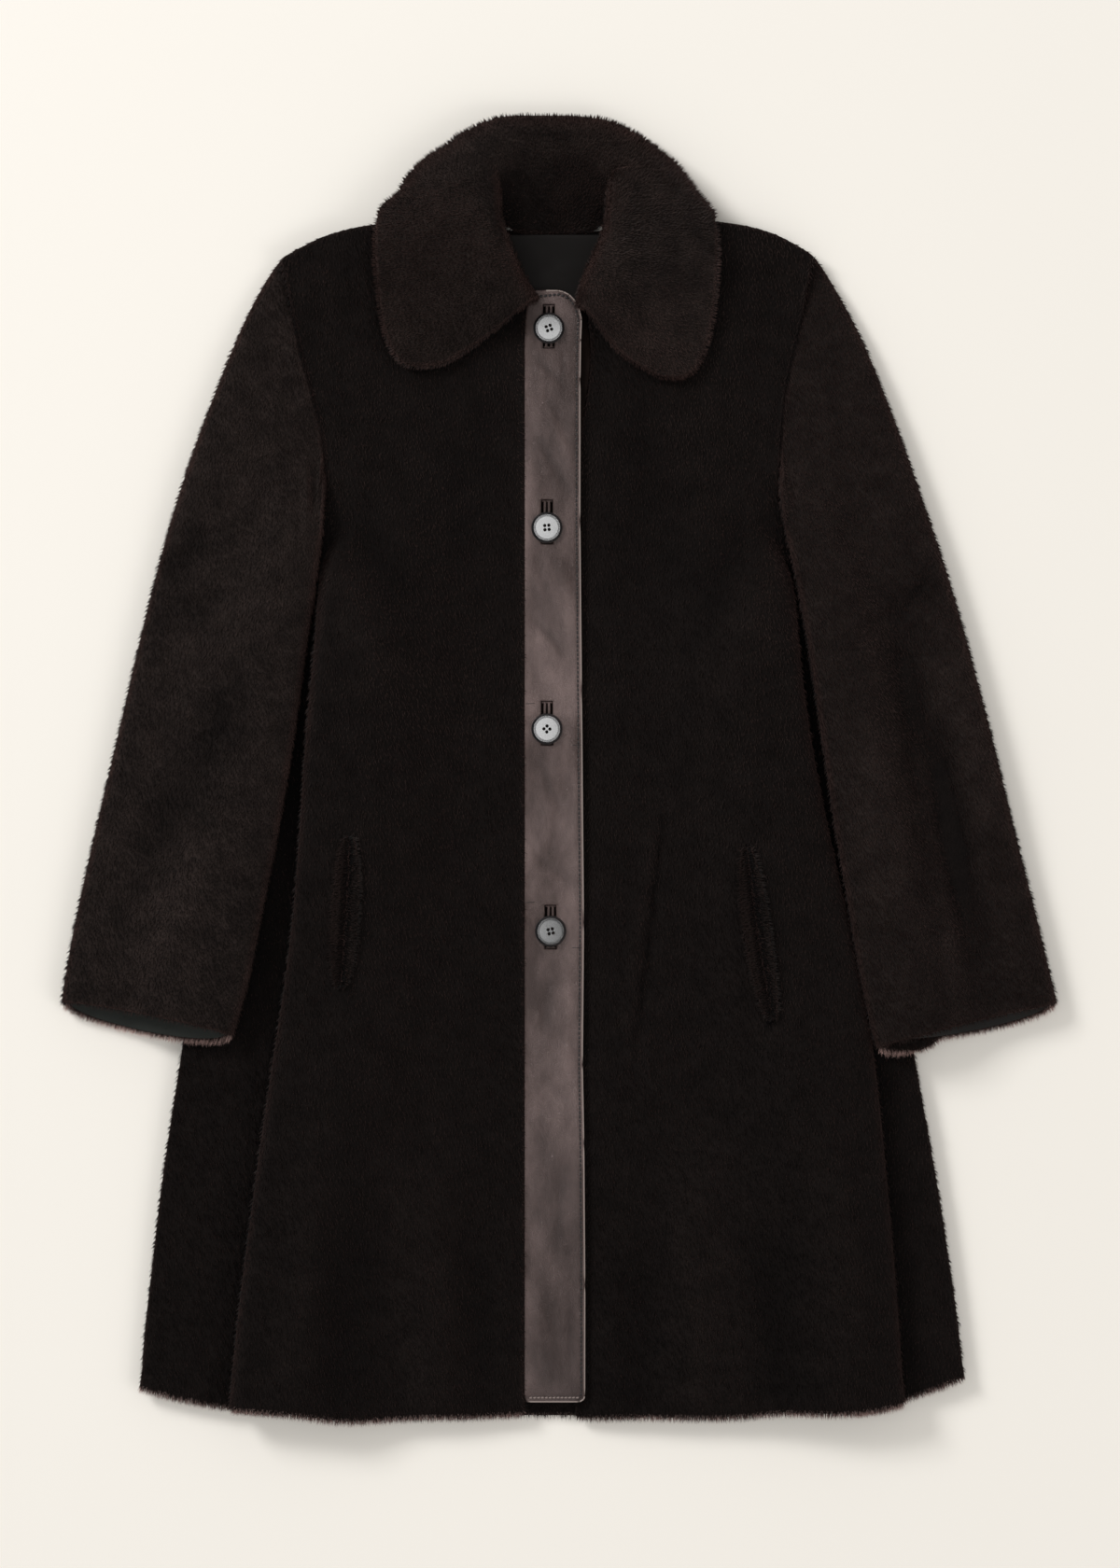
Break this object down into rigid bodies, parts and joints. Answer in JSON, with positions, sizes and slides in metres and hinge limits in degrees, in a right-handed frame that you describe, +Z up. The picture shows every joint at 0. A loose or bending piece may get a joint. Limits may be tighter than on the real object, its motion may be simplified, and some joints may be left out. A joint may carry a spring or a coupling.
{
  "type": "shearling coat",
  "caption": "Sheared-fur coat laid flat: broad round collar, leather button band, slanted pockets, side folds, sleeves along the sides.",
  "frame": {"origin": "on the surface the coat lies on, under the middle of its box", "axes": "+Z up off that surface, +Y from the hem to the collar, +X to the wearer's left"},
  "size_m": [0.769, 1.0085, 0.0412],
  "materials": {
    "fur": "short dense sheared pile, near-black brown",
    "collar_fur": "the same pile, a little lighter",
    "lining": "dark grey satin",
    "leather": "soft nappa, dark taupe, semi-matt",
    "button": "polished near-black, horn-like"
  },
  "bodies": {
    "root": {"front_right": "fur", "front_left": "fur", "back": "fur", "sleeve_right": "fur", "sleeve_left": "fur", "collar": "collar_fur", "cuff_lining_right": "lining", "pocket_welt_right_inner": "fur", "pocket_welt_right_outer": "fur", "cuff_lining_left": "lining", "pocket_welt_left_inner": "fur", "pocket_welt_left_outer": "fur", "back_neck_lining": "lining", "underlap": "leather", "placket": "leather", "buttonhole_1": "leather", "button_1": "button", "buttonhole_2": "leather", "button_2": "button", "buttonhole_3": "leather", "button_3": "button", "buttonhole_4": "leather", "button_4": "button"}
  },
  "joints": []
}
